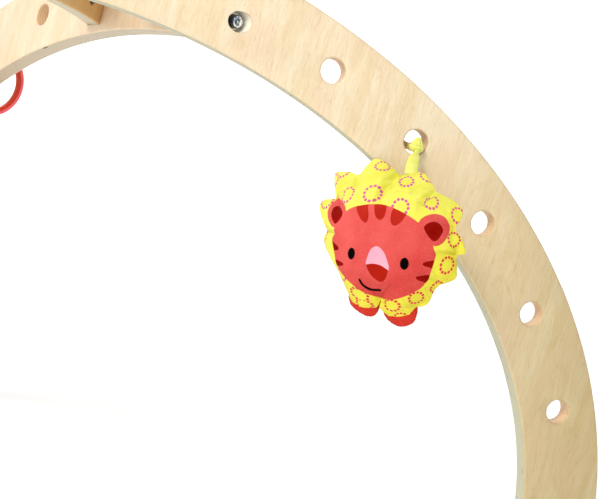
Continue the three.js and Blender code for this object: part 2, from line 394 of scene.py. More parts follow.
def birch(name, offset, hub_tone_and_shade, foot_tone_and_shade, edge_tone, tone_and_shade_drift, void_at=None):
    """Lacquered birch plywood: upright face grain, with the plies showing wherever it is cut.
    The veneer's colour drifts from the hub's colour to the foot's between two distances along the
    leg; this is partly the veneer's own tone and partly painted shade. edge_tone tints the plies.
    void_at is a gap in one of the plies."""
    s = Shade(name, Coat_Weight=0.08, Coat_Roughness=0.35, Specular_IOR_Level=0.3)
    here = s.object_mm()
    shifted = s.vector("ADD", here, offset)
    fine = s.noise(shifted, 0.9, 3.0, 0.6, stretch=(1.0, 1.0, 0.09))
    broad = s.noise(shifted, 0.075, 3.0, 0.55, 0.4, stretch=(1.0, 1.0, 0.09))
    mottle = s.noise(shifted, 0.035, 2.0, 0.5, stretch=(1.0, 1.0, 0.45))
    figure = s.noise(shifted, 0.028, 2.0, 0.45, 0.6, stretch=(1.0, 1.0, 0.16))
    rings = s.math("SINE", s.times(figure, 85.0))
    pores = s.step(s.noise(shifted, 1.9, 1.0, 0.4, stretch=(1.0, 1.0, 0.07)), 0.66, 0.74)

    face = s.stain(colour("e9d9bd"), "e2cca8", broad, 0.32, 0.68)
    face = s.stain(face, "e6ceb0", mottle, 0.42, 0.72)
    face = s.stain(face, "cfa874", rings, 0.45, 1.0, 0.13)
    face = s.stain(face, "c9a273", fine, 0.42, 0.75, 0.26)
    face = s.mix(s.times(pores, 0.30), face, colour("a97f52"))

    depth = s.plus(s.split(here)[1], HUB_INRADIUS + BOARD)
    wander = s.noise(shifted, 0.03, 2.0, stretch=(1.0, 0.0, 1.0))
    layer = s.math("DIVIDE", s.plus(depth, s.times(wander, 0.25)), BOARD / PLIES)
    odd = s.step(s.math("PINGPONG", layer, 1.0), 0.42, 0.58)
    glue = s.step(s.math("ABSOLUTE", s.minus(s.math("FRACT", layer), 0.5)), 0.40, 0.5)
    fibres = s.noise(shifted, 1.4, 2.0, 0.6, stretch=(0.25, 2.5, 0.25))
    voids = s.step(s.noise(shifted, 1.0, 1.0, stretch=(0.10, 0.8, 0.10)), 0.73, 0.755)
    edge = s.mix(odd, colour("d0c9b6"), colour("c6bda4"))
    edge = s.stain(edge, "b39b70", fibres, 0.45, 0.75, 0.3)
    edge = s.mix(s.times(glue, 0.2), edge, colour("96734a"))
    edge = s.mix(voids, edge, colour("5a3c22"))
    edge = s.mix(1.0, edge, (*edge_tone, 1.0), "MULTIPLY")

    # painted light: the wall round the bore for the next leg's bolt is painted pale, as if lit; warmer
    # inside the toy holes
    from_bore = s.measure("DISTANCE", here, BORE_MOUTH)
    edge = s.mix(s.step(from_bore, *BORE_PAINTED_LIGHT, 0.85, 0.0), edge, colour("fbf3e2"))
    toy_hole = s.attribute("toy_hole")
    edge = s.mix(s.times(toy_hole, 0.75), edge, colour("d8ad7c"))
    edge = s.mix(s.times(toy_hole, s.times(odd, 0.5)), edge, colour("efd9b8"))

    from_face = s.minus(BOARD / 2, s.math("ABSOLUTE", s.minus(depth, BOARD / 2)))
    inside = s.step(from_face, *VENEER)
    # partly the veneer's own tone, partly painted shade: the face's colour drifts along the leg
    tone = s.mix(s.step(s.split(here)[0], *tone_and_shade_drift), (*hub_tone_and_shade, 1.0), (*foot_tone_and_shade, 1.0))
    base = s.mix(inside, s.mix(1.0, face, tone, "MULTIPLY"), edge)
    if void_at:
        from_void = s.vector("MULTIPLY", s.vector("SUBTRACT", here, void_at), (0.2, 0.85, 0.2))
        ragged = s.noise(here, 1.0, 2.0, stretch=(0.4, 1.5, 0.4))
        reach = s.plus(s.measure("LENGTH", from_void), s.times(ragged, 0.6))
        base = s.mix(s.step(reach, 0.95, 1.25, 1.0, 0.0), base, colour("4a3a2c"))
    height = s.plus(fine, s.times(pores, -1.2))
    height = s.plus(height, s.times(inside, s.plus(s.times(glue, -1.5), s.times(voids, -6.0))))
    dents = s.noise(shifted, 0.05, 3.0, 0.6)
    return s.finish(base, s.step(s.plus(fine, dents), 0.6, 1.4, 0.42, 0.58), height, 0.00006)


def steel(name, tint, dark, low, grime_and_shade=False):
    """Zinc plate with fine turning marks, scuffs and darker clouds. On the bolt, grime and painted
    shade darken its socket and the ring round its head."""
    s = Shade(name, Metallic=0.82)
    here = s.object_mm()
    scuff = s.noise(here, 0.9, 3.0, 0.65, stretch=(6.0, 1.0, 1.0))
    marks = s.noise(here, 0.8, 1.0, stretch=(1.0, 9.0, 9.0))
    streaks = s.noise(here, 0.5, 1.0, 0.5, 0.5, stretch=(0.2, 1.0, 1.0))
    base = s.stain(colour(tint), dark, s.noise(here, 0.25, 2.0), 0.35, 0.7)
    base = s.stain(base, "dfe0d6", scuff, 0.5, 0.8, 0.4)
    base = s.stain(base, low, streaks, 0.52, 0.6, 0.7)
    if grime_and_shade:
        # grime and painted shade: dark in the hex socket and in the shadowed gap round the head
        off_axis = s.vector("SUBTRACT", here, (0.0, JOINT_DEPTH, BOLT_UP))
        radius = s.measure("LENGTH", s.vector("MULTIPLY", off_axis, (0.0, 1.0, 1.0)))
        rim = s.step(s.math("ABSOLUTE", s.minus(radius, BOLT["head"])), 0.25, 0.8, 1.0, 0.0)
        flats = BOLT["socket"] / 2
        socket = s.step(radius, flats - 1.0, flats - 0.4, 1.0, 0.0)
        base = s.mix(s.times(s.math("MAXIMUM", rim, socket), 0.85), base, colour("1e2226"))
    return s.finish(base, s.step(scuff, 0.3, 0.8, 0.22, 0.4), marks, 0.00003)


def beech_wood():
    """Turned beech with short dark flecks along its length."""
    s = Shade("beech_wood")
    here = s.object_mm()
    grain = s.noise(here, 1.6, 3.0, 0.6, stretch=(0.08, 1.0, 1.0))
    flecks = s.noise(here, 1.6, 1.0, stretch=(0.22, 1.3, 1.3))
    base = s.stain(colour("dcb88a"), "c79c69", grain, 0.35, 0.7)
    base = s.stain(base, "8e6238", flecks, 0.63, 0.7, 0.6)
    return s.finish(base, s.step(grain, 0.3, 0.8, 0.5, 0.68), grain, 0.00008)


def plastic(name, light, deep, inner, glow):
    """Moulded plastic with a little light carried inside, flow marks and fine scratches. Painted
    shade makes it a deeper colour towards its inner face, whose distance is kept on the mesh."""
    s = Shade(name, IOR=1.48, Subsurface_Weight=0.25, Subsurface_Scale=0.0015, Coat_Weight=0.08,
              Subsurface_Radius=glow, Coat_Roughness=0.12, Specular_IOR_Level=0.3)
    here = s.object_mm()
    flow = s.noise(here, 0.06, 3.0, 0.5, 0.8)
    scratch = s.noise(here, 1.3, 2.0, 0.7, stretch=(0.12, 4.0, 4.0))
    base = s.stain(colour(light), deep, flow, 0.3, 0.7)
    # painted shade: darker towards the ring's inner face
    base = s.mix(s.step(s.attribute("inner"), 2.4, 4.2, 1.0, 0.0), base, colour(inner))
    base = s.stain(base, inner, s.noise(here, 1.1, 1.0), 0.76, 0.8, 0.35)
    return s.finish(base, s.step(scratch, 0.35, 0.8, 0.25, 0.42), s.plus(scratch, s.times(flow, 3.0)),
                    0.00003)


def weave(s, flat, pitch):
    """Height of a plain weave of that pitch, in millimetres, over flat (across, up) coordinates."""
    x, y, _ = s.split(s.vector("MULTIPLY", flat, (math.pi / pitch,) * 3))
    over = s.times(s.math("SINE", x), s.math("SINE", y))
    return s.plus(s.math("ABSOLUTE", over), s.times(over, 0.4))


def satin(name):
    """Pale yellow satin ribbon with fine threads along it."""
    s = Shade(name, Sheen_Weight=0.12, Sheen_Roughness=0.35, Subsurface_Weight=0.2,
              Subsurface_Scale=0.002, Subsurface_Radius=(1.0, 0.9, 0.3))
    here = s.object_mm()
    threads = s.noise(here, 1.6, 2.0, 0.6, stretch=(4.0, 4.0, 0.12))
    base = s.stain(colour("e8ea84"), "e0e264", s.noise(here, 0.12, 2.0), 0.35, 0.7)
    base = s.stain(base, "d8d236", threads, 0.45, 0.75, 0.35)
    return s.finish(base, s.step(threads, 0.3, 0.8, 0.34, 0.5), threads, 0.00009)


EDGE_VOID = (160.4, -46.5, 321.4)  # on the lower edge, in the rear leg's own frame
# each leg's hub and foot colours are partly the board's own tone and partly painted shade: darker towards
# the right leg's foot, golden at the front leg's hub where it lies in shade
BIRCH = {
    "right": birch("birch_right", (0.0, 0.0, 0.0), (0.98, 1.0, 0.98), (0.67, 0.66, 0.51),
                   (0.80, 0.86, 0.80), (260.0, 480.0)),
    "rear": birch("birch_rear", (731.0, 40.0, 215.0), (1.0, 1.0, 1.0), (0.86, 0.84, 0.74),
                  (0.93, 0.87, 0.82), (330.0, 480.0), EDGE_VOID),
    "front": birch("birch_front", (-422.0, 80.0, 388.0), (0.80, 0.63, 0.36), (0.90, 0.87, 0.78),
                   (0.95, 0.95, 0.92), (-70.0, 110.0)),
}
ZINC = steel("zinc_plate", "f6f8ee", "ccd4d2", "4a5e9c", True)
NUT_STEEL = steel("nut_steel", "85857c", "62625a", "3a3a3e")
BEECH = beech_wood()
RED_PLASTIC = plastic("red_plastic", "f66c76", "ee616b", "c63410", (1.0, 0.25, 0.15))
PINK_PLASTIC = plastic("pink_plastic", "f08db0", "ea83a6", "e8486c", (1.0, 0.45, 0.5))
RIBBON_SATIN = satin("ribbon_satin")


# --- legs and hub
def leg_outline():
    """The leg's flat outline in (along, up), from the hub end round the foot and back."""
    hub_along = -HUB_INRADIUS * math.sqrt(3) - BOARD
    start = math.asin((hub_along - ARC["shift"]) / ARC["half_width"])
    angles = np.linspace(start, math.pi / 2, 150)
    outer = [ellipse(a, BAND / 2) for a in angles]
    inner = [ellipse(a, -BAND / 2) for a in angles[::-1]]
    outside, inside = outer[-1].x, inner[0].x
    foot = [
        (outside, FOOT_CHAMFER - FOOT_RISE),
        (outside - FOOT_CHAMFER, -FOOT_RISE),
        (inside + FOOT_CHAMFER, -FOOT_RISE),
        (inside, FOOT_CHAMFER - FOOT_RISE),
    ]
    return [tuple(p) for p in outer] + foot + [tuple(p) for p in inner]


def board_mesh():
    """The leg's board with its toy holes, every edge rounded over."""
    curve = bpy.data.curves.new("board", "CURVE")
    curve.dimensions = "2D"
    curve.fill_mode = "BOTH"
    curve.extrude = BOARD / 2 - EDGE_RADIUS
    curve.bevel_depth = EDGE_RADIUS
    curve.bevel_resolution = 4
    curve.offset = -EDGE_RADIUS
    loops = [leg_outline()]
    for centre in HOLE_CENTRES:
        loops.append([(centre.x + HOLE_RADIUS * math.cos(t), centre.y + HOLE_RADIUS * math.sin(t))
                      for t in full_turn(72)])
    for loop in loops:
        outline = curve.splines.new("POLY")
        outline.points.add(len(loop) - 1)
        for point, (x, y) in zip(outline.points, loop):
            point.co = (x, y, 0, 1)
        outline.use_cyclic_u = True
    mesh = evaluated(new_object("board", curve))
    return welded(moved(mesh, (0, JOINT_DEPTH, 0), Matrix.Rotation(math.pi / 2, 4, "X")), 0.004)


def end_block():
    """Takes the leg's hub end off along the previous leg's inner face."""
    size = 400.0
    block = moved(box(size, size, 4 * size), (-size / 2 - HUB_INRADIUS + GAP, 0, 0))
    block.transform(Matrix.Rotation(-math.pi / 6, 4, "Z"))
    return block


def leg_cutters():
    """The sawn end, the leg's own holes, and the holes for the next leg's bolt and dowel."""
    bolt_hole = tube(BOLT["shank"] + GAP, -GAP, SHANK_END + PAST_END)
    dowel_hole = tube(DOWEL["radius"] + GAP, DOWEL_START - GAP,
                      DOWEL_START + DOWEL["long"] + GAP, DOWEL["above"])
    bore = tube(BORE["radius"], -BORE["depth"], BORE["depth"], segments=72)
    chamfer, radius = NUT_HOLE["chamfer"], NUT["radius"] + GAP
    start, end = JOINT_DEPTH - NUT["long"] / 2, -HUB_INRADIUS + NUT_HOLE["past_face"]
    nut_hole = lathe([(0, start), (radius, start), (radius, end - chamfer), (radius + chamfer, end),
                      (0, end)], 48)
    through = []
    for shape in (bore, bolt_hole, dowel_hole):
        through.append(shape.copy())
        through[-1].transform(Matrix.Rotation(THIRD_TURN, 4, "Z"))
    return [end_block(), bolt_hole, dowel_hole, moved(nut_hole, (NUT_ALONG, 0, BOLT_UP), SQUARE_TO_BOARD),
            *through]


def bolt_mesh():
    """A socket head cap screw with a softened head, hexagon socket and thread."""
    head, shank, top, end = BOLT["head"], BOLT["shank"], HEAD_START, HEAD_START + BOLT["high"]
    profile = [(0, top), (head - 0.75, top), (head - 0.4, top + 0.1), (head - 0.1, top + 0.35),
               (head, top + 0.75), (head, end - 0.2), (head - 0.2, end), (shank + 0.25, end),
               (shank, end + 0.3), (shank, end + THREAD["from_head"])]
    root = end + THREAD["from_head"]
    for _ in range(int((SHANK_END - 1.2 - root) / THREAD["pitch"])):
        profile += [(shank - THREAD["depth"], root + 0.45 * THREAD["pitch"]),
                    (shank - 0.02, root + 0.95 * THREAD["pitch"])]
        root += THREAD["pitch"]
    profile += [(shank - 1.0, SHANK_END), (0, SHANK_END)]
    corner = BOLT["socket"] / 2 / SIN_60
    bottom = top + BOLT["deep"]
    socket = lathe([(0, top - 1), (corner, top - 1), (corner, bottom), (0, bottom + 1.2)], 6)
    lead_in = lathe([(0, top - 1), (corner + 1.3, top - 1), (corner - 0.35, top + 0.65),
                     (0, top + 0.65)], 48)
    return cut(on_bolt(lathe(profile, 72)), [on_bolt(socket), on_bolt(lead_in)])


def washer_mesh():
    inner, outer, soft = BOLT["shank"] + GAP, WASHER["radius"], WASHER["soft"]
    start, end = WASHER_START, WASHER_START + WASHER["thick"]
    profile = [(inner, start + soft), (inner + soft, start), (outer - soft, start), (outer, start + soft)]
    profile += [(outer, end - soft), (outer - soft, end), (inner + soft, end), (inner, end - soft)]
    return welded(on_bolt(lathe(profile + profile[:1], 72)), 1e-4)


def nut_mesh():
    """A barrel nut with a screwdriver slot, which lines its hole up with the bolt."""
    half, radius, soft = NUT["long"] / 2, NUT["radius"], NUT["soft"]
    barrel = lathe([(0, -half), (radius - soft, -half), (radius, soft - half), (radius, half - soft),
                    (radius - soft, half), (0, half)], 56)
    slot = box(4 * radius, 2 * NUT["slot_deep"], NUT["slot_wide"])
    return cut(moved(barrel, (NUT_ALONG, JOINT_DEPTH, BOLT_UP), SQUARE_TO_BOARD),
               [tube(BOLT["shank"] + GAP, 0, SHANK_END + PAST_END),
                moved(slot, (NUT_ALONG, JOINT_DEPTH + half, BOLT_UP))])


def dowel_mesh():
    """A fluted beech dowel with chamfered ends."""
    rings = []
    for along, size in ((0.0, 0.75), (1.2, 1.0), (DOWEL["long"] - 1.2, 1.0), (DOWEL["long"], 0.75)):
        ring = []
        for t in full_turn(96):
            flute = 0.05 * max(0.0, math.cos(DOWEL["flutes"] * t)) ** 4
            radius = DOWEL["radius"] * size * (1 - flute)
            ring.append((DOWEL_START + along, radius * math.cos(t), radius * math.sin(t)))
        rings.append(ring)
    return on_bolt(loft(rings), DOWEL["above"])


def ease_end(mesh):
    """Breaks the sharp edges where the leg's hub end was sawn off."""
    bm = editable(mesh)
    sawn = Vector((-SIN_60, 0.5, 0))
    chosen = []
    for edge in bm.edges:
        if sum(face.normal.dot(sawn) > 0.999 for face in edge.link_faces) != 1:
            continue
        from_holes = [math.hypot(v.co.y - JOINT_DEPTH, v.co.z - up) for v in edge.verts
                      for up in (BOLT_UP, BOLT_UP + DOWEL["above"])]
        if min(from_holes) > SAWN_EDGE["clear_of_holes"]:
            chosen.append(edge)
    bmesh.ops.bevel(bm, geom=chosen, offset=SAWN_EDGE["bevel"], segments=2, profile=0.5,
                    affect="EDGES")
    return mesh_from(bm)


leg = ease_end(cut(board_mesh(), leg_cutters()))
add_attribute(leg, "toy_hole", [
    float(min(math.hypot(v.co.x - c.x, v.co.z - c.y) for c in HOLE_CENTRES) < HOLE_RADIUS + EDGE_RADIUS)
    for v in leg.vertices])
HARDWARE = (
    ("bolt", bolt_mesh(), "zinc_steel", ZINC, "hub_bolt"),
    ("washer", washer_mesh(), "zinc_steel", ZINC, "hub_washer"),
    ("nut", nut_mesh(), "zinc_steel", NUT_STEEL, "barrel_nut"),
    ("peg", dowel_mesh(), "beech", BEECH, "dowel"),
)
for index, leg_name in enumerate(LEGS):
    at = leg_frame(index)
    place(f"board_{leg_name}", leg.copy(), "frame", BIRCH[leg_name],
          [f"leg_{leg_name}"], at, 30)
    for piece, shape, slot, material, node in HARDWARE:
        place(f"{piece}_{leg_name}", shape.copy(), "frame", material, [f"{node}_{leg_name}"], at)


# --- toy links
RED_LINK = {"radius": 31.0, "side": 3.35, "drop": 4.0, "spread": 0.4, "line": 0.12}
PINK_LINK = {"inner": 20.0, "wall": 4.0, "width": 14.0, "soft": 1.7}
LINK_REST_GAP = 5.2
SLIT = 1.2
REAR = LEGS.index("rear")


def swept_ring(section, radius, segments, slit_at):
    """A ring about the local Y axis from a closed (outward, sideways) section, open at a slit.
    Each point keeps its distance from the inner face, which the material darkens as painted shade."""
    half = SLIT / 2 / radius
    rings = []
    for t in np.linspace(half, 2 * math.pi - half, segments):
        c, s = math.cos(t + slit_at), math.sin(t + slit_at)
        rings.append([((radius + out) * c, side, (radius + out) * s) for out, side in section])
    mesh = loft(rings)
    inmost = min(out for out, _ in section)
    add_attribute(mesh, "inner", [out - inmost for out, _ in section] * segments)
    return mesh


def red_link_mesh():
    """A moulded ring with flattened sides, a fine parting line and a snap slit."""
    section = []
    for out, side in squircle(56, (0.42, 0.42), 0.5):
        line = RED_LINK["line"] * math.exp(-(side * RED_LINK["side"] / 0.35) ** 2)
        section.append((out * (RED_LINK["side"] - line), side * RED_LINK["side"]))
    ring = swept_ring(section, RED_LINK["radius"] + RED_LINK["spread"], 160, 0)
    return moved(ring, (0, 0, 0), SQUARE_TO_BOARD)


def pink_link_mesh():
    """A flat moulded band with rounded edges and a shallow groove round its outside."""
    wall, width, soft = PINK_LINK["wall"], PINK_LINK["width"], PINK_LINK["soft"]
    section = []
    corners = [(wall - soft, width / 2 - soft, 0), (soft, width / 2 - soft, 90),
               (soft, soft - width / 2, 180), (wall - soft, soft - width / 2, 270)]
    for out, side, from_angle in corners:
        for k in range(7):
            t = math.radians(from_angle + 15 * k)
            section.append((out + soft * math.cos(t), side + soft * math.sin(t)))
    groove = [(wall - 0.02, -3.2), (wall - 0.45, -2.6), (wall - 0.5, 0), (wall - 0.45, 2.6),
              (wall - 0.02, 3.2)]
    return swept_ring(section + groove, PINK_LINK["inner"], 144, -math.pi / 2)


second_hole = HOLE_CENTRES[1]
red_up = second_hole.y - RED_LINK["drop"] - RED_LINK["radius"]
pink_up = red_up - (RED_LINK["radius"] - LINK_REST_GAP + PINK_LINK["inner"])
for name, shape, up, material, slot in (
    ("red_link", red_link_mesh(), red_up, RED_PLASTIC, "red_plastic"),
    ("pink_link", pink_link_mesh(), pink_up, PINK_PLASTIC, "pink_plastic"),
):
    shift = Matrix.Translation(Vector((second_hole.x, JOINT_DEPTH, up)) * MM)
    place(f"{name}_ring", shape, name, material, [name], leg_frame(REAR) @ shift, 40)


# --- lion
LION_PLACE = Vector((148.5, -109.0, 356.0))
LION_YAW, LION_ROLL, LION_PITCH = (math.radians(a) for a in (-44.4, 4.9, 2.2))
LION_FRAME = (
    Matrix.Translation(LION_PLACE * MM)
    @ Matrix.Rotation(LION_YAW, 4, "Z")
    @ Matrix.Rotation(LION_PITCH, 4, "X")
    @ Matrix.Rotation(-LION_ROLL, 4, "Y")
)
CORNER = True
# (across, up) points of the mane; a third value marks a sewn-in valley between two tufts
MANE = [
    (-56.7, 27.9), (-46.0, 29.5), (-35.4, 28.6, CORNER), (-25.7, 41.6), (-17.7, 42.7),
    (-8.9, 38.9), (-0.7, 33.2, CORNER), (4.6, 33.5), (15.0, 37.0), (21.5, 36.6), (28.5, 30.0),
    (33.8, 23.8, CORNER), (45.0, 20.8), (54.0, 16.8), (58.7, 11.5), (57.2, 3.5),
    (54.3, -1.7, CORNER), (61.5, -8.5), (66.5, -17.5), (64.8, -20.6), (59.3, -21.7, CORNER),
    (61.5, -30.0), (62.6, -38.4), (57.0, -42.5), (50.1, -46.1, CORNER), (46.7, -50.7),
    (44.2, -60.1), (40.0, -64.5), (33.9, -66.5, CORNER), (28.2, -74.7), (20.9, -77.8),
    (11.9, -77.1), (6.2, -72.5), (3.0, -66.5, CORNER), (-3.1, -72.8), (-10.4, -76.0),
    (-18.3, -74.6), (-24.1, -69.9), (-26.3, -66.0, CORNER), (-35.6, -53.3), (-46.0, -42.0),
    (-56.5, -29.6), (-57.2, -24.0), (-55.4, -20.1, CORNER), (-62.0, -11.5), (-66.5, -1.7),
    (-63.9, 3.9), (-52.5, 7.1, CORNER), (-55.5, 15.0), (-57.5, 22.9),
]
FACE = [
    (-43.5, -23.6), (-39.8, -11.5), (-33.0, -2.4), (-22.7, 3.2), (-3.3, 7.3), (14.6, 4.5),
    (31.1, -2.1), (40.3, -10.0), (46.0, -20.5), (47.3, -28.4), (44.1, -40.5), (36.7, -52.8),
    (17.1, -63.6), (-5.7, -63.3), (-21.4, -56.9), (-35.4, -46.9), (-39.6, -35.8),
]
EARS = [
    [(-43.7, -16.6), (-53.0, -8.5), (-54.6, -0.7), (-49.9, 7.3), (-38.4, 4.1), (-33.0, -2.4),
     (-35.3, -12.0)],
    [(31.1, -2.1), (33.9, 3.4), (40.8, 6.8), (47.2, 5.7), (50.4, 1.0), (52.0, -9.1),
     (49.7, -15.1), (44.7, -17.2), (36.5, -12.0)],
]
EAR_INSIDES = [
    [(-45.9, 0.6), (-50.4, -3.0), (-48.2, -8.0), (-41.5, -13.7), (-36.0, -6.1), (-39.3, -0.8)],
    [(35.4, -5.0), (40.8, 0.8), (46.7, -1.8), (47.7, -10.0), (43.5, -13.7)],
]
BROW_STRIPES = [
    [(-23.9, 2.1), (-24.7, 8.0), (-12.8, 9.1), (-13.2, 4.0), (-10.9, -3.5), (-12.0, -8.6),
     (-16.3, -7.5), (-20.5, -3.5)],
    [(-8.6, 6.3), (-9.6, 11.1), (2.8, 11.1), (2.6, 8.1), (2.7, -1.0), (-0.4, -4.8),
     (-5.1, -2.5)],
    [(8.1, 6.4), (8.8, 11.1), (21.2, 7.1), (19.8, 2.0), (16.8, -4.0), (12.8, -7.4), (9.1, -5.7),
     (7.5, 0.0)],
]
CHEEK_STRIPES = [
    [(-46.7, -25.9), (-42.0, -27.7), (-35.6, -30.9), (-35.2, -33.5), (-41.1, -34.8),
     (-48.4, -35.9)],
    [(-47.1, -40.9), (-38.7, -40.9), (-29.2, -42.8), (-29.4, -45.2), (-36.2, -46.7),
     (-43.6, -51.0)],
    [(52.7, -26.9), (46.8, -27.9), (39.9, -30.9), (40.0, -33.3), (47.0, -34.2), (52.2, -34.9)],
    [(50.0, -38.4), (44.5, -39.2), (35.6, -42.3), (36.2, -44.8), (41.7, -46.1), (44.7, -49.9)],
]
NOSE = [
    (1.1, -25.0), (7.2, -28.2), (11.6, -34.9), (13.6, -40.8), (11.0, -48.3), (6.1, -51.9),
    (-1.7, -48.1), (-6.6, -40.5), (-6.0, -34.1), (-3.9, -28.0),
]
NOSE_BRIDGE = [(-6.6, -40.5), (-0.3, -38.7), (6.8, -39.1), (13.8, -41.8)]
MOUTH = [(-11.9, -53.2), (-10.5, -55.6), (-8.4, -57.4), (-3.5, -59.2), (4.7, -58.3)]
EYES = [(-21.3, -34.3), (25.4, -34.4)]
EYE_SIZE = (3.5, 4.7)
LINE_WIDTH = 1.9
PRINT_RINGS = [
    (-13.9, 37.6), (-36.0, 10.9), (-13.2, 15.2), (10.5, 28.3), (13.4, 7.2), (35.0, 15.5),
    (55.6, 8.6), (56.1, -10.4), (56.0, -29.6), (48.3, -47.5), (35.5, -59.0), (15.9, -68.4),
    (23.3, -76.6), (-9.2, -72.4), (-12.8, -64.8), (-30.6, -52.2), (-59.3, 3.1), (-50.2, 30.9),
    (-59.6, 20.1), (-61.5, -24.0), (24.0, 34.2),
]
RING_SIZE = 5.3
RING_DOTS = 12
DOT_HALF_LENGTH = 1.1
DOT_HALF_WIDTH = 1.05
FEET = {
    "left": [(-26.6, -58.0), (-27.0, -66.0), (-25.2, -73.4), (-16.5, -79.2), (-6.7, -81.3),
             (-0.6, -79.0), (2.0, -71.0), (0.5, -60.0), (-12.0, -56.5)],
    "right": [(5.0, -60.0), (5.0, -70.5), (6.4, -77.0), (12.4, -81.6), (22.3, -83.8),
              (32.6, -78.6), (34.4, -69.0), (32.0, -60.0), (18.0, -57.0)],
}
LION_FILL = {"half_front": 18.5, "half_back": 13.0, "pressure": 20, "grow": 1.175}
FOOT_FILL = {"half_front": 5.0, "half_back": 5.0, "pressure": 30, "grow": 1.15}
FOOT_SEAM_STEP = 1.6
FOOT_SET_BACK = 3.0
SEAM_STEP = 2.4
SIM_SCALE = 0.01  # the fabric is simulated ten times its size, where the cloth solver behaves
SIM_FRAMES = 20
CLOTH = {
    "quality": 6, "use_pressure": True, "mass": 0.05, "tension_stiffness": 15, "tension_damping": 5,
    "compression_stiffness": 15, "compression_damping": 5, "shear_stiffness": 5, "shear_damping": 5,
    "bending_stiffness": 0.1, "air_damping": 1,
}
PRINT_STEP = 0.8
UNPRINTED = 60.0  # a distance that no print reaches
# folds pressed into the front: (start, end, depth, width)
FOLDS = [
    ((-0.7, 34.0), (-8.0, 10.0), 4.6, 3.6),
    ((20.0, 22.0), (30.0, 30.0), 2.4, 3.0),
    ((3.0, -66.0), (5.0, -58.0), 1.2, 2.2),
]
VALLEY_FOLD = {"from": 2.0, "to": 11.0, "depth": 2.3, "width": 2.5, "lowest": -60.0}
FACE_MIDDLE = Vector((2.0, -28.0))


def spline(points, closed, spacing):
    """Points evenly along a Catmull-Rom curve through the given ones."""
    p = np.array(points, float)
    ends = (p[-1:], p[:2]) if closed else (2 * p[:1] - p[1:2], 2 * p[-1:] - p[-2:-1])
    q = np.concatenate([ends[0], p, ends[1]])
    t = np.linspace(0, 1, 24, endpoint=False)[:, None]
    runs = []
    for a, b, c, d in zip(q, q[1:], q[2:], q[3:]):
        runs.append(0.5 * (2 * b + (c - a) * t + (2 * a - 5 * b + 4 * c - d) * t ** 2
                           + (3 * b - a - 3 * c + d) * t ** 3))
    line = np.concatenate(runs + [p[:1] if closed else p[-1:]])
    run = np.concatenate([[0], np.cumsum(np.hypot(*np.diff(line, axis=0).T))])
    count = max(3, round(run[-1] / spacing))
    at = np.linspace(0, run[-1], count, endpoint=not closed)
    return np.stack([np.interp(at, run, line[:, k]) for k in (0, 1)], 1)


def tufted(points, spacing):
    """A closed outline that is smooth over each tuft and sharp at each marked valley."""
    first = next(k for k, p in enumerate(points) if len(p) == 3)
    order = points[first:] + points[:first + 1]
    runs, current = [], [order[0][:2]]
    for p in order[1:]:
        current.append(p[:2])
        if len(p) == 3:
            runs.append(spline(current, False, spacing)[:-1])
            current = [p[:2]]
    return np.concatenate(runs)


def line_distance(points, line):
    """Distance of each point from an open line."""
    a, b = line[:-1], line[1:]
    away, edge = points[:, None] - a, b - a
    t = np.clip((away * edge).sum(-1) / (edge ** 2).sum(-1), 0, 1)
    return np.sqrt(((away - t[..., None] * edge) ** 2).sum(-1).min(1))


def signed_distance(points, polygon):
    """Distance of each point from a closed polygon, negative inside it."""
    line = np.concatenate([polygon, polygon[:1]])
    (ax, ay), (bx, by) = line[:-1].T, line[1:].T
    x, y = points[:, :1], points[:, 1:]
    rise = np.where(by == ay, 1e-9, by - ay)
    left = x < (bx - ax) * (y - ay) / rise + ax
    inside = (((ay > y) != (by > y)) & left).sum(1) % 2 == 1
    distance = line_distance(points, line)
    return np.where(inside, -distance, distance)


def panels(outline, spacing):
    """Two flat panels sewn along their outline: (vertices, faces, side of each, size of the rim)."""
    low, high = outline.min(0), outline.max(0)
    grid = []
    for k, y in enumerate(np.arange(low[1], high[1], spacing * SIN_60)):
        xs = np.arange(low[0], high[0], spacing) + (spacing / 2 if k % 2 else 0)
        grid += [(x, y) for x in xs]
    grid = np.array(grid)
    grid = grid[signed_distance(grid, outline) < -0.6 * spacing]
    rim = len(outline)
    points = [Vector(p) for p in outline] + [Vector(p) for p in grid]
    edges = [(k, (k + 1) % rim) for k in range(rim)]
    flat, _, faces, *_ = delaunay_2d_cdt(points, edges, [], 1, 1e-6)
    count = len(flat)
    verts = [(p.x, 0.0 if k < rim else -1.0, p.y) for k, p in enumerate(flat)]
    verts += [(p.x, 1.0, p.y) for p in flat[rim:]]
    back = {k: (k if k < rim else k - rim + count) for k in range(count)}
    both = [tuple(f) for f in faces] + [tuple(back[k] for k in reversed(f)) for f in faces]
    side = [0.0] * rim + [1.0] * (count - rim) + [-1.0] * (count - rim)
    return np.array(verts), both, np.array(side), rim


def fabric_mesh(points, faces):
    """A mesh of these faces, all turned outwards."""
    mesh = bpy.data.meshes.new("fabric")
    mesh.from_pydata(points, [], faces)
    return mesh_from(editable(mesh))


def inflate(mesh, pressure):
    """The mesh after a cloth simulation with air pressure inside and no gravity."""
    obj = new_object("inflating", mesh)
    cloth = obj.modifiers.new("cloth", "CLOTH")
    for key, value in CLOTH.items():
        setattr(cloth.settings, key, value)
    cloth.settings.uniform_pressure_force = pressure
    cloth.settings.effector_weights.gravity = 0
    cloth.collision_settings.use_collision = False
    scene = bpy.context.scene
    cloth.point_cache.frame_start = scene.frame_start = 1
    cloth.point_cache.frame_end = scene.frame_end = SIM_FRAMES
    for number in range(1, SIM_FRAMES + 1):
        scene.frame_set(number)
    result = evaluated(obj)
    scene.frame_set(1)
    return result


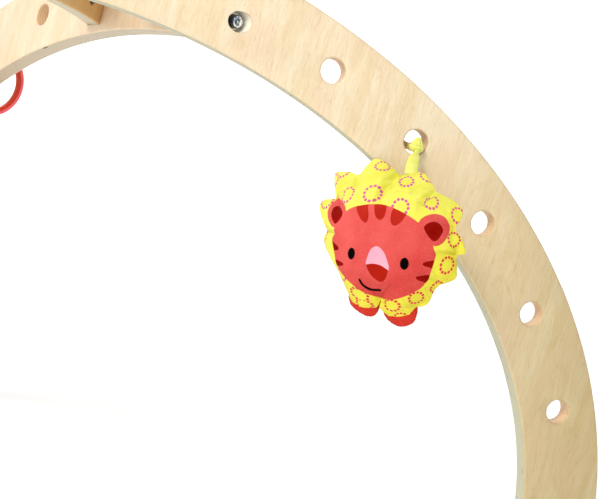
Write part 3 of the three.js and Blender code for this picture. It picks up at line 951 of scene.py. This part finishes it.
def cushion(outline, spacing, half_front, half_back, pressure, grow):
    """A sewn and stuffed cushion with this outline, in millimetres, lying in the XZ plane. The
    cloth is cut larger than the outline by grow, because stuffing draws its seam in."""
    verts, faces, side, rim = panels(outline, spacing)
    middle = outline.mean(0)
    pattern = verts.copy()
    pattern[:, (0, 2)] = (pattern[:, (0, 2)] - middle) * grow
    mesh = inflate(fabric_mesh(pattern * SIM_SCALE, faces), pressure)
    co = coordinates(mesh) / SIM_SCALE
    co[:, (0, 2)] += middle
    co[:, 1] -= co[:rim, 1].mean()
    # the seam is brought onto the outline it was cut for, and the rest follows it
    wanted = outline - co[:rim][:, (0, 2)]
    gap = co[:, None][:, :, (0, 2)] - co[None, :rim][:, :, (0, 2)]
    weight = 1 / ((gap ** 2).sum(2) + 2.0) ** 1.5
    co[:, (0, 2)] += (weight @ wanted) / weight.sum(1)[:, None]
    front, behind = -co[:, 1].min(), co[:, 1].max()
    co[:, 1] *= np.where(co[:, 1] < 0, half_front / front, half_back / behind)
    set_coordinates(mesh, co)
    add_attribute(mesh, "flat", verts)
    add_attribute(mesh, "side", side)
    obj = new_object("smoothing", mesh)
    subdivide = obj.modifiers.new("smooth", "SUBSURF")
    subdivide.levels = subdivide.render_levels = 2
    subdivide.quality = 3
    bpy.context.view_layer.update()
    return evaluated(obj)


def crease(co, side, start, end, depth, width):
    """Presses a soft fold into the front between two (across, up) points."""
    near = line_distance(co[:, (0, 2)], np.array([start, end], float))
    co[:, 1] += depth * np.exp(-(near / width) ** 2) * np.clip(side, 0, 1)


def print_fields(mesh):
    """Signed distances from every printed shape, kept on the fabric for its material."""
    seen = coordinates(mesh)[:, (0, 2)]
    side = read_attribute(mesh, "side")
    behind = np.where(side < 0.02, UNPRINTED, 0.0)

    def closest(shapes):
        found = [signed_distance(seen, spline(shape, True, PRINT_STEP)) for shape in shapes]
        return np.minimum.reduce(found)

    face, nose = closest([FACE]), closest([NOSE])
    bridge = spline(NOSE_BRIDGE, False, PRINT_STEP)
    above_bridge = seen[:, 1] - np.interp(seen[:, 0], bridge[:, 0], bridge[:, 1])
    eyes = []
    for eye in EYES:
        size = np.hypot(*((seen - eye) / EYE_SIZE).T)
        eyes.append((size - 1) * min(EYE_SIZE))
    mouth = line_distance(seen, spline(MOUTH, False, PRINT_STEP)) - LINE_WIDTH / 2
    fields = {
        "face": np.minimum(face, closest(EARS)),
        "dark": np.minimum(closest(EAR_INSIDES), np.maximum(closest(CHEEK_STRIPES), face)),
        "brow": np.maximum(closest(BROW_STRIPES), face),
        "nose": nose,
        "nose_tip": np.maximum(nose, above_bridge),
        "ink": np.minimum(np.minimum.reduce(eyes), mouth),
    }
    for name, values in fields.items():
        add_attribute(mesh, name, values + behind)

    # the dashed circles are printed on the flat cloth, so they bend with it
    flat = read_attribute(mesh, "flat", 3)[:, (0, 2)]
    front = np.flatnonzero(side > 0.04)
    centres = [flat[front[((seen[front] - ring) ** 2).sum(1).argmin()]] for ring in PRINT_RINGS]
    offset = flat[:, None] - np.array(centres)
    chosen = offset[np.arange(len(flat)), (offset ** 2).sum(2).argmin(1)]
    add_attribute(mesh, "ring", np.pad(chosen, ((0, 0), (0, 1))))


def printed_fabric(name, has_face):
    """Soft printed polyester: woven ground, dashed circles and, on the lion, the face."""
    s = Shade(name, Subsurface_Weight=0.12, Subsurface_Scale=0.0015,
              Subsurface_Radius=(1.0, 0.7, 0.25))
    flat = s.attribute("flat", "Vector")
    fibre = s.noise(flat, 1.6, 2.0, 0.6)
    cloud = s.noise(flat, 0.06, 2.0)
    soft = s.noise(flat, 0.35, 3.0, 0.55)

    def ink(first, second, pale=0.04):
        return s.stain(s.stain(colour(first), second, cloud, 0.35, 0.65), "ffffff", fibre, 0.45, 0.75, pale)

    def over(ground, tone, field):
        """ground with a printed shape's ink over it, its edge made ragged by the fibres."""
        ragged = s.plus(s.attribute(field), s.times(fibre, 0.12))
        return s.mix(s.step(ragged, -0.14, 0.14, 1.0, 0.0), ground, tone)

    if has_face:
        sideways, _, up = s.split(flat)
        lean = s.minus(s.times(sideways, 0.7), up)
        # painted shade: the yellow ground and the face's red are printed darker towards the lower right,
        # away from the light
        painted_shade_low_right = s.step(lean, 0.0, 70.0)
        base = s.mix(painted_shade_low_right, ink("e4e25a", "dcda48"), ink("dcd438", "d4ca2c"))
        ring = s.attribute("ring", "Vector")
        x, z, _ = s.split(ring)
        dash = s.math("COSINE", s.times(s.math("ARCTAN2", z, x), float(RING_DOTS)))
        aside = s.times(s.math("ARCCOSINE", dash), RING_SIZE / RING_DOTS / DOT_HALF_LENGTH)
        out = s.math("DIVIDE", s.minus(s.measure("LENGTH", ring), RING_SIZE), DOT_HALF_WIDTH)
        from_dot = s.math("SQRT", s.plus(s.times(aside, aside), s.times(out, out)))
        pinks = s.stain(colour("cc4f92"), "cc2434", lean, 5.0, 60.0)
        base = s.mix(s.step(from_dot, 0.85, 1.15, 1.0, 0.0), base, pinks)
        layers = {
            # painted shade: a deeper red towards the lower right
            "face": s.mix(painted_shade_low_right, ink("d95550", "d24b46"), ink("c83f39", "c23630")),
            "brow": ink("b62a1e", "aa2216", 0.0),
            "dark": ink("8c0c05", "820803", 0.0),
            "nose": ink("eea4b7", "e99bb0"),
            "nose_tip": ink("a61d0e", "9c180a", 0.0),
            "ink": colour("030202"),
        }
        for field, tone in layers.items():
            base = over(base, tone, field)
        # dark inks shine less than the yellow ground
        inks = s.attribute("ink")
        for field in ("dark", "brow", "nose_tip"):
            inks = s.math("MINIMUM", inks, s.attribute(field))
        shine = s.math("MINIMUM", s.step(inks, -0.3, 0.3, 0.02, 0.3),
                       s.step(s.attribute("face"), -0.3, 0.3, 0.14, 0.3))
        s.put(s.main.inputs["Specular IOR Level"], shine)
    else:
        base = ink("c42e1e", "ba2615")
        s.put(s.main.inputs["Specular IOR Level"], 0.08)
    return s.finish(base, s.step(fibre, 0.3, 0.8, 0.52, 0.68),
                    s.plus(weave(s, flat, 0.42), s.times(soft, 2.2)), 0.00007)


lion_mesh = cushion(tufted(MANE, SEAM_STEP), SEAM_STEP, **LION_FILL)
lion_co = coordinates(lion_mesh)
lion_side = read_attribute(lion_mesh, "side")
for fold in FOLDS:
    crease(lion_co, lion_side, *fold)
for along, up, *corner in MANE:
    if corner and up > VALLEY_FOLD["lowest"]:
        valley = Vector((along, up))
        inward = (FACE_MIDDLE - valley).normalized()
        crease(lion_co, lion_side, valley + inward * VALLEY_FOLD["from"],
               valley + inward * VALLEY_FOLD["to"], VALLEY_FOLD["depth"], VALLEY_FOLD["width"])
set_coordinates(lion_mesh, lion_co)
print_fields(lion_mesh)
lion = place("lion_cushion", lion_mesh, "lion",
             printed_fabric("lion_print", True), ["lion_body"], LION_FRAME, 70)

foot_fabric = printed_fabric("foot_fabric", False)
for which, points in FEET.items():
    foot_mesh = cushion(spline(points, True, FOOT_SEAM_STEP), FOOT_SEAM_STEP, **FOOT_FILL)
    foot = place(f"foot_{which}", moved(foot_mesh, (0, FOOT_SET_BACK, 0)), "lion",
                 foot_fabric, [f"lion_foot_{which}"], LION_FRAME, 70)


# --- the lion's hanger
HANGER = {"shift": 0.5, "drop": 3.0}  # from the hole's middle
KNOT = {"radius": 5.7, "height": 13.3, "beyond": 2.0, "lift": 1.0}
TAIL = {"radius": 2.0, "length": 15.0, "inside_knot": 1.0}
TOGGLE = {"radius": 3.5, "length": 32.0}
RIBBON = {"width": 10.5, "thick": 1.5, "before_knot": 4.2, "below_knot": 2.5}
LION_SEAM = Vector((9.0, 0.5, 34.0))  # where the ribbon is sewn to the lion, in the lion's frame
hang = Vector((second_hole.x + HANGER["shift"], 0, second_hole.y - HANGER["drop"])) + HUB
knot_depth = HUB.y - HUB_INRADIUS - BOARD - KNOT["beyond"]
tail_start = knot_depth + KNOT["radius"] - TAIL["inside_knot"]
tail_end = knot_depth + KNOT["radius"] + GAP + TAIL["length"]


def strap_mesh(stations):
    """A flat folded strap through stations of (centre, width scale, twist), rounded at its edges."""
    along = np.linspace(0, 1, 40)
    centre = np.array([s[0] for s in stations], float)
    lengths = np.linalg.norm(np.diff(centre, axis=0), axis=1)
    keys = np.concatenate([[0], np.cumsum(lengths)]) / lengths.sum()
    path = np.stack([np.interp(along, keys, centre[:, k]) for k in range(3)], 1)
    for _ in range(6):
        path[1:-1] = (path[:-2] + 2 * path[1:-1] + path[2:]) / 4
    scale = np.interp(along, keys, [s[1] for s in stations])
    twist = np.radians(np.interp(along, keys, [s[2] for s in stations]))
    tangent = np.gradient(path, axis=0)
    tangent /= np.linalg.norm(tangent, axis=1)[:, None]
    section = squircle(44, (0.35, 0.7))
    rings = []
    for p, d, wide, angle, part in zip(path, tangent, scale, twist, along):
        side = Vector((math.cos(angle), math.sin(angle), 0))
        out = Vector(d).cross(side).normalized()
        ring = []
        for x, y in section:
            fold = 0.9 * math.exp(-((x - 0.25) / 0.16) ** 2) * math.sin(math.pi * min(1, part * 1.1))
            cup = 1.1 * (x * x - 0.4)
            ring.append(Vector(p) + side * (x * wide * RIBBON["width"] / 2)
                        + out * (y * RIBBON["thick"] / 2 - cup + fold))
        rings.append(ring)
    return loft(rings)


def knot_mesh():
    """A ribbon knot: a gathered teardrop with the ribbon's last turn round its lower part."""
    rows = 40
    half = KNOT["height"] / 2
    rings = [[(0, 0, -half)]]
    for j in range(1, rows):
        v = j / rows
        body = math.sin(math.pi * min(1.0, v ** 0.62)) ** 0.8 * KNOT["radius"]
        wrap = 0.55 * math.exp(-((v - 0.34) / 0.10) ** 2) - 0.5 * math.exp(-((v - 0.5) / 0.05) ** 2)
        ring = []
        for t in full_turn(72):
            pleat = 0.30 * math.sin(9 * t + 4 * v) * (0.35 + v) + 0.18 * math.sin(5 * t - 3 * v)
            radius = max(0.15, body + (wrap + pleat) * min(1.0, body / 2))
            ring.append((radius * math.cos(t), 0.92 * radius * math.sin(t), KNOT["height"] * v - half))
        rings.append(ring)
    return loft(rings + [[(0, 0, half)]], False)


def tail_mesh():
    """The ribbon's tail, drawn together into a lightly twisted cord."""
    length = tail_end - tail_start
    ripples = 24
    profile = [(0, 0), (TAIL["radius"] - 0.3, 0)]
    for k in range(1, ripples):
        share = k / ripples
        profile.append((TAIL["radius"] * (0.92 + 0.06 * math.sin(9 * share)), share * (length - 0.8)))
    profile += [(TAIL["radius"] - 0.2, length), (0, length)]
    mesh = lathe(profile, 32)
    for vertex in mesh.vertices:
        angle = math.atan2(vertex.co.z, vertex.co.y) + 0.35 * vertex.co.x
        vertex.co.yz = vertex.co.yz * (1 + 0.07 * math.cos(6 * angle))
    return moved(mesh, (hang.x, tail_start, hang.z), SQUARE_TO_BOARD)


def toggle_mesh():
    """A turned peg with rounded ends and a groove round its middle."""
    end, radius = TOGGLE["length"] / 2, TOGGLE["radius"]
    half = [(0, end), (radius - 1.3, end - 0.1), (radius - 0.5, end - 0.8), (radius - 0.1, end - 2.2),
            (radius, end - 5), (radius, 2.6), (radius - 0.4, 2.0), (radius - 0.6, 1.4),
            (radius - 0.65, 0)]
    return lathe([(r, -along) for r, along in half] + half[-2::-1], 56)


seam = LION_FRAME @ (LION_SEAM * MM) / MM
ribbon_top = Vector((hang.x, knot_depth - RIBBON["before_knot"], hang.z - RIBBON["below_knot"]))
strap = strap_mesh([
    (ribbon_top, 0.3, 0), (ribbon_top.lerp(seam, 0.12), 0.4, -2),
    (ribbon_top.lerp(seam, 0.35) + Vector((-1.0, -1.5, 0)), 0.86, -8),
    (ribbon_top.lerp(seam, 0.7) + Vector((-1.0, -1.2, 0)), 0.92, -24), (seam, 1.0, -42),
])
knot = moved(knot_mesh(), (hang.x, knot_depth, hang.z + KNOT["lift"]))
toggle_place = Vector((hang.x, tail_end + GAP + TOGGLE["radius"], hang.z)) * MM
for name, shape, slot, material, node, matrix, degrees in (
    ("ribbon_strap", strap, "yellow_ribbon", RIBBON_SATIN, "lion_ribbon", None, 50),
    ("ribbon_knot", knot, "yellow_ribbon", RIBBON_SATIN, "lion_knot", None, 60),
    ("ribbon_tail", tail_mesh(), "yellow_ribbon", RIBBON_SATIN, "lion_tail_cord", None, 60),
    ("toggle_peg", toggle_mesh(), "beech", BEECH, "lion_toggle", Matrix.Translation(toggle_place), 40),
):
    place(name, shape, "lion_hanger", material, [node], matrix, degrees)


# --- stage, light and camera
FLOOR_REACH = 30.0
WHITE = (1.0, 1.0, 1.0, 1.0)
AHEAD, RIGHT, UP = (0.24, 0.97, 0.0), (0.93, -0.37, 0.0), (0.0, 0.0, 1.0)  # for the viewer
BACKDROP = (1.5, 1.5, 1.5, 1.0)
HORIZON = (1.01, 1.01, 1.01, 1.0)
ROOM_LEFT = (0.34, 0.35, 0.37, 1.0)
ROOM_RIGHT = (0.14, 0.11, 0.07, 1.0)
WINDOW = {"from": (-0.66, -0.55, 0.52), "strength": 1.5, "softness": 18, "tint": (1.0, 0.985, 0.95)}
SOFTBOX = {"place": Vector((-0.45, -0.75, 0.95)), "target": Vector((0.0, -0.09, 0.45)),
           "size": 0.45, "power": 2.9}
CAMERA = {"place": Vector((-127.52, -970.05, 346.91)), "turn": -13.81, "tilt": 87.77, "roll": 15.28}
SENSOR_WIDTH = 36.0
FOCAL_LENGTH = 69.21
scene = bpy.context.scene
scene.view_settings.view_transform = "Standard"


def stage_floor():
    """A white floor that gives off a little light of its own."""
    mesh = bpy.data.meshes.new("floor")
    corners = ((-1, -1), (1, -1), (1, 1), (-1, 1))
    mesh.from_pydata([(x * FLOOR_REACH, y * FLOOR_REACH, 0) for x, y in corners], [], [(0, 1, 2, 3)])
    white = Shade("floor_white", Base_Color=(0.99, 0.99, 0.99, 1.0), Roughness=0.9,
                  Emission_Color=WHITE, Emission_Strength=0.22, Specular_IOR_Level=0.1)
    mesh.materials.append(white.material)
    return new_object("floor", mesh)


def white_room():
    """A bright backdrop behind the gym, a white wall all round, and warmer, dimmer light from the
    ceiling on the viewer's right."""
    world = bpy.data.worlds.new("white_room")
    world.use_nodes = True
    room = Nodes(world.node_tree)
    look = room.node("ShaderNodeTexCoord").outputs["Generated"]

    def facing(direction, low, high):
        return room.step(room.measure("DOT_PRODUCT", look, direction), low, high)

    light = room.mix(facing(RIGHT, -0.5, 0.6), ROOM_LEFT, ROOM_RIGHT)
    light = room.mix(facing(UP, 0.1, 0.5), HORIZON, light)
    light = room.mix(facing(AHEAD, 0.1, 0.6), light, BACKDROP)
    room.put(world.node_tree.nodes["Background"].inputs["Color"], light)
    return world


def add_light(name, kind, direction, energy):
    """A light that shines from that direction."""
    light = bpy.data.lights.new(name, kind)
    light.energy = energy
    obj = new_object(name, light)
    obj.rotation_euler = Vector(direction).to_track_quat("Z", "Y").to_euler()
    return obj


stage_floor()
scene.world = white_room()

# even light from far away, with soft-edged shadows
window = add_light("window", "SUN", WINDOW["from"], WINDOW["strength"])
window.data.angle = math.radians(WINDOW["softness"])
window.data.color = WINDOW["tint"]

# a round light close to the hub, so that the gym is brightest there
softbox = add_light("softbox", "AREA", SOFTBOX["place"] - SOFTBOX["target"], SOFTBOX["power"])
softbox.location = SOFTBOX["place"]
softbox.data.shape = "DISK"
softbox.data.size = SOFTBOX["size"]

lens = bpy.data.cameras.new("viewer")
lens.sensor_fit = "HORIZONTAL"
lens.sensor_width = SENSOR_WIDTH
lens.lens = FOCAL_LENGTH
lens.clip_start = 0.02
lens.clip_end = 80.0
camera = new_object("viewer", lens)
camera.matrix_world = (
    Matrix.Translation(CAMERA["place"] * MM)
    @ Matrix.Rotation(math.radians(CAMERA["turn"]), 4, "Z")
    @ Matrix.Rotation(math.radians(CAMERA["tilt"]), 4, "X")
    @ Matrix.Rotation(math.radians(CAMERA["roll"]), 4, "Z")
)
scene.camera = camera
